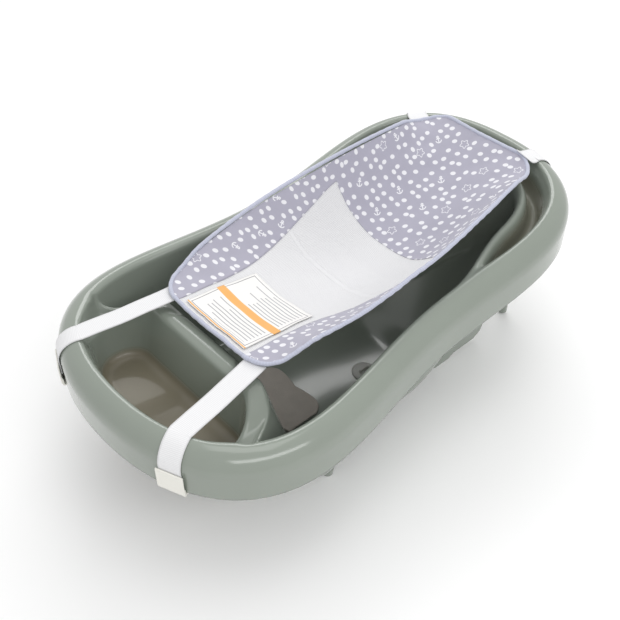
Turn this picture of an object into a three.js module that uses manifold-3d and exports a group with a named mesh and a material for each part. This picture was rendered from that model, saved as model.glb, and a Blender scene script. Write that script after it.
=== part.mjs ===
// Baby bathtub with an infant sling. Millimetres, +Z up.
// +X points to the raised head end, the origin is on the ground under the middle of the tub.
import * as THREE from "three";
import { mergeVertices } from "three/addons/utils/BufferGeometryUtils.js";
import Module from "manifold-3d";

const wasm = await Module();
wasm.setup();

// ---------------------------------------------------------------- driving dimensions
const HALF_LENGTH = 320.5; // inner edge of the rim, from the middle to each end
const SIDE = { middle: 180, taper: -24, flare: 78, waist: 33, waistAt: 0.06, waistSpan: 0.76 };
const SQUARENESS = { foot: 2.15, head: 2.4 }; // exponents of the superellipse at the two ends
const RIM = { middle: 205, rise: 33, ends: 26, ease: -10 }; // height of the rim along the tub
const ROLL_RADIUS = 28; // the rim rolls outwards through a quarter circle
const SKIRT_DEPTH = 60; // from the rim's inner edge to the bottom of its skirt
const WALL = 3;
const DRAFT = 0.137; // the walls lean out by this much per unit of height
const TOP_INSET = 4; // inner face of the wall below the rim's inner edge
const COLLAR_DEPTH = 45;
const FLOOR = 14; // top of the basin's floor
const BASIN = { footTop: -188, footFloor: -140, headFloor: 105, fillet: 14 };
const WELL = { rearTop: -211, rearFloor: -225, floor: 120, halfWidth: 112, topHalfWidth: 132 };
const RIDGE = { top: 198, drop: 28, from: 80, over: 50, reach: 138 }; // ridge between foot well and basin
const BEND = { from: 85, over: 45, by: 41 }; // its ends bend back towards the foot end
const CREST = { inset: 34, shoulder: 4, from: 70, over: 130, below: 7 }; // head ridge
const TROUGH = { shallow: 8, depth: 38, bottom: 16, lip: 6, reach: 1.33 }; // reach is an angle
const DRAIN = { x: 30, y: -42, radius: 13, flange: 17, flangeHeight: 3, clearance: 0.4 };
const FEET = [
  { x: -118, y: 128, top: 28 },
  { x: 284, y: 84, top: 204 },
];
const FOOT_RADIUS = 8;
// Side profile of the two ribs that carry the sloping back, as [x, z] along the underside.
const RIB = {
  y: 92, thickness: 9,
  bottom: [[112, 5], [120, 0], [148, 0], [157, 5], [202, 5], [215, 13], [222, 30]],
};

const GAP = 0.4; // between pieces that touch
const SLING = {
  footX: -190, headX: 289, middleX: 10, halfWidth: 120, footNarrow: 27, headNarrow: 33,
  edgeZ: 242, edgeRise: 0.11, footZ: 211, lowX: 60, lowZ: 163, headZ: 266, corner: 30,
};
const CLOTH = 1.6; // thickness of the sling's fabric
const PIPING_RADIUS = 2.6;
const MESH_PANEL = { headX: 105, footHalf: 62, headHalf: 100 };
const SEAM_TAPE = { x: 8, width: 9, halfWidth: 84, thickness: 0.8 };
const LABEL = { fromX: -182, toX: -76, halfWidth: 54, thickness: 0.5, lift: 2.4 };
const STRAP = { width: 27, thickness: 1.2, lift: 0.6, tail: 14 }; // tail ends above the skirt's hem
const HOOK = {
  width: 33, plate: 2, above: 29, below: 4, ledge: 2.4, lip: 4.2, lipClearance: 2.4, slot: 2.4,
};
const SEAT_PAD = { fromX: -121, toX: -55, halfWidth: 55, waist: 5, thickness: 3 };
const BACK_PAD = { from: 165, to: 258, halfWidth: 47, thickness: 3, lift: 9 };
const ROUND_OVER = 1.5; // worn corner of the ridge's and head ridge's tops
const OPEN_ABOVE = 90; // how far the hollows are carried up past the rim

// ---------------------------------------------------------------- small helpers
const V = (x, y, z) => new THREE.Vector3(x, y, z);
const lerp = THREE.MathUtils.lerp;
const smooth = (t) => THREE.MathUtils.smoothstep(t, 0, 1);
const softMax = (a, b, k) => (a + b + Math.hypot(a - b, k)) / 2;
const softMin = (a, b, k) => (a + b - Math.hypot(a - b, k)) / 2;
const signedPower = (t, e) => Math.sign(t) * Math.abs(t) ** e;

function toSolid(geometry) {
  const bare = geometry.clone();
  for (const name of Object.keys(bare.attributes)) {
    if (name !== "position") bare.deleteAttribute(name);
  }
  const merged = mergeVertices(bare, 1e-4);
  return new wasm.Manifold(
    new wasm.Mesh({
      numProp: 3,
      vertProperties: new Float32Array(merged.attributes.position.array),
      triVerts: new Uint32Array(merged.index.array),
    }),
  );
}

function toGeometry(solid) {
  const mesh = solid.getMesh();
  const geometry = new THREE.BufferGeometry();
  const coordinates = new Float32Array(mesh.vertProperties);
  geometry.setAttribute("position", new THREE.BufferAttribute(coordinates, 3));
  geometry.setIndex(new THREE.BufferAttribute(new Uint32Array(mesh.triVerts), 1));
  geometry.computeVertexNormals();
  return geometry;
}

// Triangles of the flat cap over one ring, numbered from start.
function capFaces(ring, start) {
  const origin = ring[0];
  const normal = V(0, 0, 0);
  for (let j = 1; j < ring.length - 1; j++) {
    normal.add(ring[j].clone().sub(origin).cross(ring[j + 1].clone().sub(origin)));
  }
  normal.normalize();
  const third = ring[Math.floor(ring.length / 3)];
  const across = third.clone().sub(origin).projectOnPlane(normal).normalize();
  const up = normal.clone().cross(across);
  const flat = ring.map((p) => {
    const d = p.clone().sub(origin);
    return new THREE.Vector2(d.dot(across), d.dot(up));
  });
  return THREE.ShapeUtils.triangulateShape(flat, []).map((face) => face.map((k) => start + k));
}

// A skin over a row of rings with equal point counts, closed round or with a flat cap at each end.
function sweep(rings, { closed = false } = {}) {
  const n = rings[0].length;
  const faces = [];
  const spans = closed ? rings.length : rings.length - 1;
  for (let i = 0; i < spans; i++) {
    const a = i * n;
    const b = ((i + 1) % rings.length) * n;
    for (let j = 0; j < n; j++) {
      const k = (j + 1) % n;
      faces.push([a + j, a + k, b + k], [a + j, b + k, b + j]);
    }
  }
  if (!closed) {
    faces.push(...capFaces(rings[0], 0).map((face) => face.reverse()));
    faces.push(...capFaces(rings.at(-1), (rings.length - 1) * n));
  }
  const coordinates = rings.flat().flatMap((p) => [p.x, p.y, p.z]);
  const skin = (triangles) => {
    const geometry = new THREE.BufferGeometry();
    geometry.setAttribute("position", new THREE.Float32BufferAttribute(coordinates, 3));
    geometry.setIndex(triangles.flat());
    return toSolid(geometry);
  };
  const solid = skin(faces);
  return solid.volume() > 0 ? solid : skin(faces.map(([a, b, c]) => [a, c, b]));
}

const prism = (outline, fromZ, toZ) =>
  sweep([outline.map((p) => V(p.x, p.y, fromZ)), outline.map((p) => V(p.x, p.y, toZ))]);

function cylinder(x, y, fromZ, toZ, radiusBottom, radiusTop = radiusBottom, sides = 24) {
  const geometry = new THREE.CylinderGeometry(radiusTop, radiusBottom, toZ - fromZ, sides);
  geometry.rotateX(Math.PI / 2);
  geometry.translate(x, y, (fromZ + toZ) / 2);
  return toSolid(geometry);
}

const union = (solids) => solids.reduce((a, b) => a.add(b));

// ---------------------------------------------------------------- outline of the rim's inner edge
function outlinePoint(theta) {
  const cos = Math.cos(theta);
  const sin = Math.sin(theta);
  const e = 2 / (cos > 0 ? SQUARENESS.head : SQUARENESS.foot);
  const c = signedPower(cos, e);
  const waist = SIDE.waist * Math.exp(-(((c - SIDE.waistAt) / SIDE.waistSpan) ** 2));
  const half = SIDE.middle + SIDE.taper * c + SIDE.flare * c * c - waist;
  return { x: HALF_LENGTH * c, y: half * signedPower(sin, e), c };
}

// The outline's point at an angle, moved in by inset, with its outward normal and the rim's height.
function rimAt(theta, inset = 0) {
  const step = 1e-3;
  const p = outlinePoint(theta);
  const before = outlinePoint(theta - step);
  const after = outlinePoint(theta + step);
  const length = Math.hypot(after.x - before.x, after.y - before.y);
  const nx = (after.y - before.y) / length;
  const ny = (before.x - after.x) / length;
  const z = RIM.middle + RIM.rise * p.c + RIM.ends * p.c ** 2 + RIM.ease * p.c ** 3;
  return { x: p.x - inset * nx, y: p.y - inset * ny, z, nx, ny };
}

// The place that far outwards and upwards from a point of the rim.
const besideRim = (rim, out, up) => V(rim.x + out * rim.nx, rim.y + out * rim.ny, rim.z + up);

// The direction along the rim, with its rise and fall.
function rimTangent(theta) {
  const before = rimAt(theta - 0.02);
  const after = rimAt(theta + 0.02);
  return V(after.x - before.x, after.y - before.y, after.z - before.z).normalize();
}

const ANGLES = 72;
const angles = Array.from({ length: ANGLES }, (_, i) => ((i + 0.5) / ANGLES) * 2 * Math.PI);
const ridgeHeight = (y) => RIDGE.top - RIDGE.drop * smooth((Math.abs(y) - RIDGE.from) / RIDGE.over);
function ridgeBend(y) {
  const t = Math.max(0, (Math.abs(y) - BEND.from) / BEND.over);
  return BEND.by * (t < 1 ? t * t : 2 * t - 1);
}
const crestShare = (x) => smooth((x - CREST.from) / CREST.over);
const insetAtDepth = (depth) => TOP_INSET + DRAFT * depth;

// ---------------------------------------------------------------- tub shell
function rimRing() {
  const arc = (radius, from, to, steps) =>
    Array.from({ length: steps + 1 }, (_, i) => {
      const a = lerp(from, to, i / steps);
      return [radius * Math.sin(a), -ROLL_RADIUS + radius * Math.cos(a)];
    });
  const profile = [
    [ROLL_RADIUS, -SKIRT_DEPTH],
    ...arc(ROLL_RADIUS, Math.PI / 2, 0, 5),
    [-TOP_INSET + 1.2, -1],
    [-TOP_INSET, -4],
    [-insetAtDepth(COLLAR_DEPTH), -COLLAR_DEPTH],
    [WALL - insetAtDepth(COLLAR_DEPTH), -COLLAR_DEPTH],
    [WALL - insetAtDepth(8), -8],
    ...arc(ROLL_RADIUS - WALL, 0.1, Math.PI / 2, 4),
    [ROLL_RADIUS - WALL, -SKIRT_DEPTH],
  ];
  return sweep(
    angles.map((theta) => {
      const p = rimAt(theta);
      return profile.map(([out, up]) => besideRim(p, out, up));
    }),
    { closed: true },
  );
}

// One ring of the basin. share runs from 0 at the floor to 1 at the top; grow makes the outer skin.
function basinRing(share, grow, fillet, lift = 0) {
  return angles.map((theta) => {
    const edge = rimAt(theta);
    const crest = crestShare(edge.x) * (CREST.inset + CREST.shoulder);
    const floorInset = insetAtDepth(edge.z - FLOOR);
    const inset = lerp(floorInset, TOP_INSET + crest, share) + fillet - grow;
    const p = rimAt(theta, Math.max(inset, 0.5));
    const footLimit = lerp(BASIN.footFloor, BASIN.footTop - ridgeBend(p.y), share) + fillet - grow;
    const headLimit = lerp(BASIN.headFloor, HALF_LENGTH, share) - fillet + grow;
    const x = softMin(softMax(p.x, footLimit, 16), headLimit, 30);
    const onRidge = smooth((footLimit + 8 - p.x) / 16);
    const side = edge.z - Math.max(CREST.below * crestShare(edge.x), 2);
    const top = lerp(side, ridgeHeight(p.y), onRidge) - (grow > 0 ? ROUND_OVER : 0);
    return V(x, p.y, lerp(FLOOR - grow, top, share) + lift);
  });
}

function basin(grow, open) {
  const rings = [
    basinRing(0, grow, BASIN.fillet),
    basinRing(0.03, grow, BASIN.fillet / 3),
    basinRing(0.1, grow, 0),
    basinRing(0.55, grow, 0),
    basinRing(1, grow, 0),
  ];
  if (open) rings.push(basinRing(1, grow, 0, OPEN_ABOVE));
  return sweep(rings);
}

// One ring of the foot well, at a height above its floor.
function wellRing(share, grow, fillet, lift = 0) {
  return angles.map((theta) => {
    const edge = rimAt(theta);
    const inset = lerp(insetAtDepth(edge.z - WELL.floor), TOP_INSET, share) + fillet - grow;
    const p = rimAt(theta, inset);
    const halfWidth = lerp(WELL.halfWidth, WELL.topHalfWidth, share) - fillet + grow;
    const y = Math.sign(p.y) * softMin(Math.abs(p.y), halfWidth, 6);
    const rear = lerp(WELL.rearFloor, WELL.rearTop, share) - fillet + grow - ridgeBend(y);
    const onRidge = smooth((p.x - rear + 8) / 16);
    const top = lerp(edge.z - 4, ridgeHeight(p.y), onRidge) - (grow > 0 ? ROUND_OVER : 0);
    return V(softMin(p.x, rear, 14), y, lerp(WELL.floor - grow, top, share) + lift);
  });
}

function footWell(grow, open) {
  const rings = [
    wellRing(0, grow, 9),
    wellRing(0.06, grow, 3),
    wellRing(0.2, grow, 0),
    wellRing(1, grow, 0),
  ];
  if (open) rings.push(wellRing(1, grow, 0, OPEN_ABOVE));
  return sweep(rings);
}

// The plate on top of the ridge between the foot well and the basin.
function ridgeDeck() {
  const rings = [];
  for (let i = 0; i <= 24; i++) {
    const y = lerp(-RIDGE.reach, RIDGE.reach, i / 24);
    const z = ridgeHeight(y);
    const from = WELL.rearTop - WALL - ridgeBend(y);
    const to = BASIN.footTop + WALL - ridgeBend(y);
    rings.push([
      V(from, y, z - WALL), V(from, y, z - ROUND_OVER), V(from + WALL, y, z),
      V(to - WALL, y, z), V(to, y, z - ROUND_OVER), V(to, y, z - WALL),
    ]);
  }
  return sweep(rings);
}

// The trough between the head ridge and the rim: its hollow, or with body = true its walls and crest.
function headTrough(body) {
  const rings = [];
  const steps = 32;
  for (let i = 0; i <= steps; i++) {
    const theta = lerp(-TROUGH.reach, TROUGH.reach, i / steps);
    const edge = rimAt(theta);
    const share = crestShare(edge.x);
    const depth = TROUGH.shallow + TROUGH.depth * share;
    const drop = CREST.below * share;
    const inner = TOP_INSET + CREST.inset * share;
    const outerFoot = insetAtDepth(depth);
    const innerFoot = Math.max(inner - TROUGH.bottom, outerFoot + 0.5);
    const lip = Math.max(inner - TROUGH.lip, outerFoot + 1);
    const shoulder = inner + CREST.shoulder;
    const section = body
      ? [
          [1.2, -3], [outerFoot - WALL, -depth - WALL], [innerFoot + WALL, -depth - WALL],
          [Math.max(inner, innerFoot + WALL), -drop - 4], [shoulder + 3.5, -drop - 4],
          [shoulder + 3.5, -drop - ROUND_OVER], [shoulder, -drop], [inner - TROUGH.lip, -drop],
        ]
      : [
          [TOP_INSET, 40], [outerFoot, -depth], [innerFoot, -depth],
          [lip, -drop - 2], [lip, 40],
        ];
    rings.push(section.map(([inset, up]) => besideRim(edge, -inset, up)));
  }
  return sweep(rings);
}

// A rib under the sloping back, from the ground up into the wall above it.
function backRib(y) {
  const slope = (RIM.middle + RIM.rise - FLOOR) / (HALF_LENGTH - BASIN.headFloor);
  const wallAbove = ([x]) => [x, FLOOR + slope * (x - BASIN.headFloor)];
  const side = [...RIB.bottom, wallAbove(RIB.bottom.at(-1)), wallAbove(RIB.bottom[0])];
  return sweep([-0.5, 0.5].map((t) => side.map(([x, z]) => V(x, y + t * RIB.thickness, z))));
}

function tubShell() {
  let shell = union([rimRing(), basin(WALL, false), footWell(WALL, false), ridgeDeck(), headTrough(true)]);
  for (const foot of FEET) {
    for (const side of [-1, 1]) {
      shell = shell.add(cylinder(foot.x, side * foot.y, 0, foot.top, FOOT_RADIUS - 1.5, FOOT_RADIUS, 16));
    }
  }
  shell = shell.add(backRib(RIB.y)).add(backRib(-RIB.y));
  for (const hollow of [basin(0, true), footWell(0, true), headTrough(false)]) {
    shell = shell.subtract(hollow);
  }
  shell = shell.subtract(cylinder(DRAIN.x, DRAIN.y, 0, FLOOR + 10, DRAIN.radius));
  // The largest body is the moulding; any other is a sliver left where two surfaces graze.
  return shell.decompose().reduce((a, b) => (a.volume() > b.volume() ? a : b));
}

// ---------------------------------------------------------------- sling
// Half width and heights of the hammock along X.
function slingHalfWidth(x, inset = 0) {
  const foot = (SLING.middleX - x) / (SLING.middleX - SLING.footX);
  const head = (x - SLING.middleX) / (SLING.headX - SLING.middleX);
  const narrow = x < SLING.middleX ? SLING.footNarrow * foot ** 2 : SLING.headNarrow * head ** 2;
  const radius = SLING.corner - inset;
  const cut = (d) => {
    const run = radius - THREE.MathUtils.clamp(d, 0, radius);
    return radius - Math.sqrt(radius ** 2 - run ** 2);
  };
  const rounding = cut(x - SLING.footX - inset) + cut(SLING.headX - inset - x);
  return SLING.halfWidth - inset - narrow - rounding;
}

function slingHeight(x, across) {
  const middle =
    x < SLING.lowX
      ? lerp(SLING.lowZ, SLING.footZ, ((SLING.lowX - x) / (SLING.lowX - SLING.footX)) ** 1.2)
      : lerp(SLING.lowZ, SLING.headZ, ((x - SLING.lowX) / (SLING.headX - SLING.lowX)) ** 1.6);
  const edge = Math.min(SLING.edgeZ + SLING.edgeRise * (x - SLING.middleX), SLING.headZ + 3);
  const endShare = smooth((x - SLING.footX) / 70) * smooth((SLING.headX - x) / 60);
  return lerp(middle, Math.max(edge, middle), Math.abs(across) ** 2.6 * lerp(0.35, 1, endShare));
}

// The point of the sling above a place in plan, lifted along the surface's normal.
function slingPoint(x, y, lift = 0) {
  const across = (px, py) => py / Math.max(slingHalfWidth(px), Math.abs(py), 1);
  const at = (px, py) => slingHeight(px, across(px, py));
  const px = THREE.MathUtils.clamp(x, SLING.footX + 1, SLING.headX - 1);
  const normal = V((at(px - 1, y) - at(px + 1, y)) / 2, (at(px, y - 1) - at(px, y + 1)) / 2, 1);
  return V(x, y, at(x, y)).addScaledVector(normal.normalize(), lift);
}

// A sheet of cloth over a strip between two X stations, with its half width as a function of X.
function clothSheet(fromX, toX, halfAt, bottom, top, stations, steps) {
  const rings = [];
  for (let i = 0; i <= stations; i++) {
    const x = lerp(fromX, toX, (1 - Math.cos((Math.PI * i) / stations)) / 2);
    const half = halfAt(x);
    const across = Array.from({ length: steps + 1 }, (_, j) => half * (1 - (2 * j) / steps));
    const row = (lift, sign) => across.map((y) => slingPoint(x, sign * y, lift));
    rings.push([...row(top, 1), ...row(bottom, -1)]);
  }
  return sweep(rings);
}

const meshHalfWidth = (x) =>
  lerp(MESH_PANEL.footHalf, MESH_PANEL.headHalf, smooth((x + 130) / (MESH_PANEL.headX + 130)));

function meshOutline(grow) {
  const stations = 12;
  const side = [];
  for (let i = 0; i <= stations; i++) {
    const x = lerp(SLING.footX - 10, MESH_PANEL.headX + grow, i / stations);
    side.push({ x, y: meshHalfWidth(x) + grow });
  }
  return [...side.map((p) => ({ x: p.x, y: -p.y })), ...side.reverse()];
}

function slingSheets() {
  const edge = PIPING_RADIUS + 2 * GAP;
  const sheet = clothSheet(
    SLING.footX + edge, SLING.headX - edge, (x) => slingHalfWidth(x, edge), 0, CLOTH, 20, 14,
  );
  return {
    panel: sheet.subtract(prism(meshOutline(GAP), 100, 320)),
    mesh: sheet.intersect(prism(meshOutline(0), 100, 320)),
  };
}

function seamTape() {
  const from = SEAM_TAPE.x - SEAM_TAPE.width / 2;
  const top = -GAP;
  return clothSheet(
    from, from + SEAM_TAPE.width, () => SEAM_TAPE.halfWidth, top - SEAM_TAPE.thickness, top, 2, 12,
  );
}

function careLabel() {
  const { fromX, toX, halfWidth, thickness, lift } = LABEL;
  return clothSheet(fromX, toX, () => halfWidth, lift, lift + thickness, 8, 14);
}

// Centre line of the piping round the sling: foot edge, one side, head edge and the other side.
function slingEdge() {
  const side = [];
  const stations = 26;
  for (let i = 0; i <= stations; i++) {
    const share = (1 - Math.cos((Math.PI * i) / stations)) / 2;
    side.push(lerp(SLING.footX, SLING.headX, share));
  }
  const near = side.map((x) => slingPoint(x, -slingHalfWidth(x), CLOTH / 2));
  const far = side.map((x) => slingPoint(x, slingHalfWidth(x), CLOTH / 2)).reverse();
  const ends = (x, sign) =>
    [-0.6, -0.2, 0.2, 0.6].map((t) => slingPoint(x, sign * t * slingHalfWidth(x), CLOTH / 2));
  return [...near, ...ends(SLING.headX, 1), ...far, ...ends(SLING.footX, -1)];
}

function piping() {
  const path = slingEdge();
  const n = path.length;
  const sides = 8;
  const rings = path.map((p, i) => {
    const along = path[(i + 1) % n].clone().sub(path[(i + n - 1) % n]).normalize();
    const out = along.clone().cross(V(0, 0, 1)).normalize();
    const up = out.clone().cross(along);
    return Array.from({ length: sides }, (_, j) => {
      const a = (j / sides) * 2 * Math.PI;
      const edge = p.clone().addScaledVector(out, PIPING_RADIUS * Math.cos(a));
      return edge.addScaledVector(up, PIPING_RADIUS * Math.sin(a));
    });
  });
  return sweep(rings, { closed: true });
}

// ---------------------------------------------------------------- straps and rim hooks
const SADDLES = [
  { name: "foot_left", theta: 2.79, start: [-195, 80], lower: 0 },
  { name: "foot_right", theta: -2.79, start: [-195, -80], lower: 0 },
  { name: "head_left", theta: 0.53, start: [271, 93], lower: 3 },
  { name: "head_right", theta: -0.22, start: [295, -68], lower: 0 },
];

// A strap from a corner of the sling, over the rolled rim, into the slot of its hook.
function strap({ theta, start, lower }) {
  const rim = rimAt(theta);
  const tangent = rimTangent(theta);
  const half = STRAP.thickness / 2;
  const cornerX = THREE.MathUtils.clamp(start[0], SLING.footX, SLING.headX);
  const corner = V(start[0], start[1], slingHeight(cornerX, 0.8) - lower);
  const onTop = besideRim(rim, 0, STRAP.lift + half);
  const radius = ROLL_RADIUS + STRAP.lift + half;
  const line = [];
  for (let i = 0; i < 5; i++) line.push(corner.clone().lerp(onTop, i / 5));
  for (let i = 0; i <= 6; i++) {
    const a = (i / 6) * (Math.PI / 2);
    line.push(besideRim(rim, radius * Math.sin(a), radius * Math.cos(a) - ROLL_RADIUS));
  }
  line.push(besideRim(rim, radius, STRAP.tail - SKIRT_DEPTH));
  const rings = line.map((p, i) => {
    const before = line[Math.max(i - 1, 0)];
    const after = line[Math.min(i + 1, line.length - 1)];
    const along = after.clone().sub(before).normalize();
    const across = tangent.clone().addScaledVector(along, -tangent.dot(along)).normalize();
    const up = across.clone().cross(along).normalize();
    const w = STRAP.width / 2;
    return [[-w, -half], [w, -half], [w, half], [-w, half]].map(([s, t]) =>
      p.clone().addScaledVector(across, s).addScaledVector(up, t),
    );
  });
  return sweep(rings);
}

// A hook that grips the bottom edge of the skirt: front plate, ledge under the edge, lip behind it.
function rimHook({ theta }) {
  const rim = rimAt(theta);
  const bottom = -SKIRT_DEPTH;
  const front = ROLL_RADIUS + HOOK.slot + HOOK.plate;
  const back = front - HOOK.plate;
  const lipOut = ROLL_RADIUS - WALL - HOOK.lipClearance;
  const under = bottom - HOOK.below;
  const section = [
    [front, bottom + HOOK.above], [front, under], [lipOut - HOOK.plate, under],
    [lipOut - HOOK.plate, bottom + HOOK.lip], [lipOut, bottom + HOOK.lip],
    [lipOut, under + HOOK.ledge], [back - 1.6, under + HOOK.ledge], [back - 1.6, bottom + 6],
    [back, bottom + 10], [back, bottom + HOOK.above],
  ];
  const tangent = rimTangent(theta);
  const rings = [-HOOK.width / 2, HOOK.width / 2].map((s) =>
    section.map(([out, up]) => besideRim(rim, out, up).addScaledVector(tangent, s)),
  );
  return sweep(rings);
}

// ---------------------------------------------------------------- pads and drain plug
function seatPad() {
  const steps = 10;
  const headSide = [];
  for (let i = 0; i <= steps; i++) {
    const t = lerp(-1, 1, i / steps);
    const waist = SEAT_PAD.waist * (1 - Math.sin(Math.abs(t) * Math.PI * 0.8));
    const corner = 14 * Math.abs(t) ** 8;
    headSide.push({ x: SEAT_PAD.toX - waist - corner, y: SEAT_PAD.halfWidth * t });
  }
  const outline = [
    { x: SEAT_PAD.fromX, y: -SEAT_PAD.halfWidth },
    ...headSide,
    { x: SEAT_PAD.fromX, y: SEAT_PAD.halfWidth },
  ];
  return prism(outline, FLOOR + GAP, FLOOR + GAP + SEAT_PAD.thickness);
}

// The back pad lies on the sloping wall between the basin's floor and the head ridge.
function backPad() {
  const foot = V(BASIN.headFloor, 0, FLOOR);
  const crest = rimAt(0, TOP_INSET + CREST.inset + CREST.shoulder);
  const slope = V(crest.x, 0, crest.z - CREST.below).sub(foot).normalize();
  const normal = V(-slope.z, 0, slope.x);
  const shape = [];
  for (let i = 0; i < 28; i++) {
    const a = (i / 28) * 2 * Math.PI;
    const s = lerp(BACK_PAD.from, BACK_PAD.to, (1 + signedPower(Math.cos(a), 0.5)) / 2);
    shape.push([s, BACK_PAD.halfWidth * signedPower(Math.sin(a), 0.5)]);
  }
  const ring = (up) =>
    shape.map(([s, y]) => {
      const middle = foot.clone().addScaledVector(slope, s).addScaledVector(normal, up);
      return middle.add(V(0, y, 0));
    });
  return sweep([ring(BACK_PAD.lift), ring(BACK_PAD.lift + BACK_PAD.thickness)]);
}

function drainPlug() {
  const top = FLOOR + DRAIN.clearance;
  const flangeTop = top + DRAIN.flangeHeight;
  const flange = cylinder(DRAIN.x, DRAIN.y, top, flangeTop, DRAIN.flange, DRAIN.flange - 1.5);
  const stemTop = DRAIN.radius - DRAIN.clearance;
  const stem = cylinder(DRAIN.x, DRAIN.y, 8, top + 1, DRAIN.radius - 1.5, stemTop);
  const grip = new THREE.BoxGeometry(16, 3, 9);
  grip.translate(DRAIN.x, DRAIN.y, flangeTop + 4);
  return union([flange, stem, toSolid(grip)]);
}

// ---------------------------------------------------------------- assembly
const finish = (color, roughness) =>
  new THREE.MeshStandardMaterial({ color, roughness, metalness: 0 });
const sage = finish(0x96a096, 0.25);
const hookPlastic = finish(0xe6e4dc, 0.4);
const webbing = finish(0xf2f2f2, 0.85);
const foam = finish(0x7d756e, 0.8);
const rubber = finish(0xd8d8d4, 0.6);
const print = finish(0xb7b4c4, 0.85);
const netting = finish(0xf4f4f6, 0.9);
const binding = finish(0xb9bdd2, 0.8);
const labelCloth = finish(0xf0eee8, 0.8);

const tub = new THREE.Group();

function add(name, solid, material) {
  const mesh = new THREE.Mesh(toGeometry(solid), material);
  mesh.name = name;
  tub.add(mesh);
}

add("tub_shell", tubShell(), sage);
add("drain_plug", drainPlug(), rubber);
add("seat_pad", seatPad(), foam);
add("back_pad", backPad(), foam);

const sheets = slingSheets();
add("sling_panel", sheets.panel, print);
add("sling_mesh_panel", sheets.mesh, netting);
add("sling_piping", piping(), binding);
add("seat_seam_tape", seamTape(), webbing);
add("care_label", careLabel(), labelCloth);
for (const saddle of SADDLES) {
  add(`strap_${saddle.name}`, strap(saddle), webbing);
  add(`rim_hook_${saddle.name}`, rimHook(saddle), hookPlastic);
}

export default tub;
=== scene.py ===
"""Looks of the baby bathtub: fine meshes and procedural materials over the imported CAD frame.

Shapes are worked out in millimetres in the part's own frame and handed to Blender in metres.
"""
import math

import bmesh
import bpy
import numpy as np
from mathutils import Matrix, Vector


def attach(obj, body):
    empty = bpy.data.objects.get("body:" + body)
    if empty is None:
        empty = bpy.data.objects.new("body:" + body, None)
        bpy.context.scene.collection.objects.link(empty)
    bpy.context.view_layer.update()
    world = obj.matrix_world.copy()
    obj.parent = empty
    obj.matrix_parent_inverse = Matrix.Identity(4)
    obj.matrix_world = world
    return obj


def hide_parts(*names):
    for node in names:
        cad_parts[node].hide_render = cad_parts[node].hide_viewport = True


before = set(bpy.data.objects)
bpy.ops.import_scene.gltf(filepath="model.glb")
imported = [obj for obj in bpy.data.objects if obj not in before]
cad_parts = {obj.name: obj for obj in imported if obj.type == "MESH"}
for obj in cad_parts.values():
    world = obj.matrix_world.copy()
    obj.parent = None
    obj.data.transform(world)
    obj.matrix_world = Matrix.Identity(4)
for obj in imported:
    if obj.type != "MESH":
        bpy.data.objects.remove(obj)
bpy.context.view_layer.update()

MM = 0.001

# ------------------------------------------------------------------ dimensions, in millimetres
HALF_LENGTH = 320.5
SIDE = dict(middle=180, taper=-24, flare=78, waist=33, waist_at=0.06, waist_span=0.76)
SQUARENESS = dict(foot=2.15, head=2.4)
RIM = dict(middle=205, rise=33, ends=26, ease=-10)
ROLL_RADIUS = 28
SKIRT_DEPTH = 60
WALL = 3
DRAFT = 0.137
TOP_INSET = 4
FLOOR = 14
BASIN = dict(foot_top=-188, foot_floor=-140, head_floor=105)
WELL = dict(rear_top=-211, rear_floor=-225, floor=120, half_width=112, top_half_width=132)
RIDGE = dict(top=198, drop=28, start=80, over=50)
BEND = dict(start=85, over=45, by=41)
CREST = dict(inset=34, shoulder=4, start=70, over=130, below=7)
TROUGH = dict(shallow=8, depth=38, bottom=16, lip=6)
DRAIN = dict(x=30, y=-42, radius=13, flange=17, lift=0.4)
FEET = [(-118, 128), (284, 84)]
FOOT_RADIUS = 8
RIB = dict(
    y=92, thickness=9,
    bottom=[(112, 5), (120, 0), (148, 0), (157, 5), (202, 5), (215, 13), (222, 30)])

SLING = dict(
    foot_x=-190, head_x=289, middle_x=10, half_width=120, foot_narrow=27, head_narrow=33,
    edge_z=242, edge_rise=0.11, foot_z=211, low_x=60, low_z=163, head_z=266, corner=30)
MESH_PANEL = dict(head_x=105, foot_half=62, head_half=100)
CLOTH = 1.6
PIPING_RADIUS = 2.6
SEAM_TAPE = dict(x=8, width=9, half_width=84)
LABEL = dict(from_x=-182, to_x=-76, half_width=54, lift=2.5)
STRAP = dict(width=27, thickness=1.2, lift=0.6, tail=14, tuck=13, tuck_drop=3)
HOOK = dict(width=33, plate=2, above=29, below=4, lip=4.2, lip_clearance=2.4, slot=2.4)
SADDLES = {
    "foot_left": dict(theta=2.79, start=(-195, 80), lower=0),
    "foot_right": dict(theta=-2.79, start=(-195, -80), lower=0),
    "head_left": dict(theta=0.53, start=(271, 93), lower=3),
    "head_right": dict(theta=-0.22, start=(295, -68), lower=0),
}
SEAT_PAD = dict(from_x=-121, to_x=-55, half_width=55, waist=5)
BACK_PAD = dict(start=165, end=258, half_width=47, lift=9)
PAD_THICKNESS = 3
PAD_LIFT = 0.4
# Rounded edge of a pad, from its underside up, as (height in a 3 mm pad, inset).
PAD_EDGE = [(0.0, 0.9), (0.5, 0.25), (1.1, 0.0), (1.9, 0.0), (2.5, 0.35), (2.85, 1.1), (2.95, 2.4)]

# Widths over which the moulding's faces run into each other.
ROUND = dict(
    lip=7, foot_wall=22, recline=60, basin_floor=18, well_wall=22, well_ends=20, well_floor=12,
    trough_wall=8, trough_floor=7, ridge_edge=9, crest_edge=18, trough_start=4, trough_edge=12)
NO_TROUGH_BEFORE = 40
OUTSIDE = 50.0
BASIN_RISE = 235

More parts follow.
